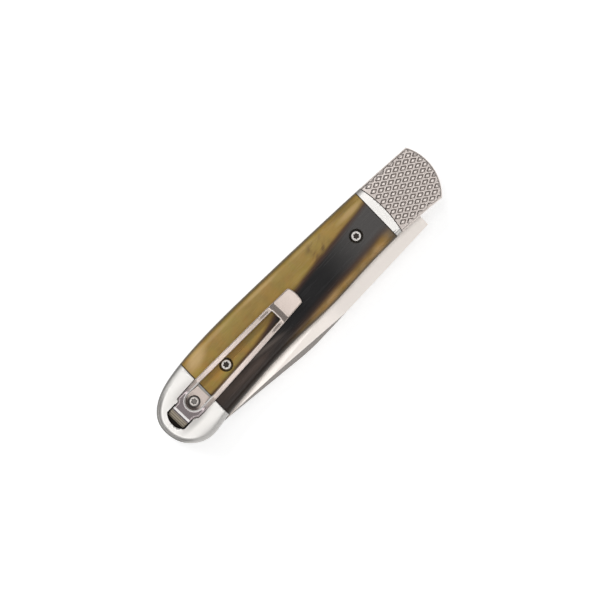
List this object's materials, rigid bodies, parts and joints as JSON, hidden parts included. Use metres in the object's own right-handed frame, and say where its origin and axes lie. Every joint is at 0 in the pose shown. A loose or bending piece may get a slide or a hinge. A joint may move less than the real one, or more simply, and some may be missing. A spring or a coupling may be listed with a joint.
{
  "type": "folding pocket knife",
  "caption": "Slip-joint folding knife, shut: horn scales, rounded metal butt, smooth collar, bolster with raised diamonds over the pivot, and a bent pocket clip with a long window.",
  "frame": {"origin": "on the rest plane, the far side scale's flat outer face, under the middle of the shut knife's outline", "axes": "+X from the butt to the pivot end, +Y from the belly to the back, +Z from the far side to the clip side"},
  "size_m": [0.105, 0.0235, 0.013],
  "materials": {
    "blade_steel": "satin ground steel",
    "spring_steel": "satin spring steel",
    "liner_steel": "brushed sheet steel",
    "bolster_steel": "fine satin, rounded edges",
    "knurled_steel": "satin with raised diamonds",
    "clip_steel": "satin bent strip, bright broken edges",
    "screw_steel": "plain screw steel",
    "bearing_bronze": "plain bronze",
    "horn": "polished brown and black horn"
  },
  "bodies": {
    "handle": {"backspring": "spring_steel", "pivot_pin": "screw_steel", "spring_centre_pin": "screw_steel", "rear_barrel": "screw_steel", "pocket_clip": "clip_steel", "clip_screw": "screw_steel", "clip_side_butt_bolster": "bolster_steel", "clip_side_liner": "liner_steel", "clip_side_washer": "bearing_bronze", "clip_side_scale": "horn", "clip_side_collar": "bolster_steel", "clip_side_knurled_bolster": "knurled_steel", "clip_side_scale_screws": "screw_steel", "clip_side_bolster_screws": "screw_steel", "far_side_butt_bolster": "bolster_steel", "far_side_liner": "liner_steel", "far_side_washer": "bearing_bronze", "far_side_scale": "horn", "far_side_collar": "bolster_steel", "far_side_knurled_bolster": "knurled_steel", "far_side_scale_screws": "screw_steel", "far_side_bolster_screws": "screw_steel"},
    "blade": {"blade": "blade_steel"}
  },
  "joints": [
    {"name": "blade_fold", "type": "hinge", "parent": "handle", "child": "blade", "pos_m": [0.0404, 0.0007, 0.00542], "axis": [0, 0, 1], "range_deg": [0, 180], "deforming": ["backspring"]}
  ]
}
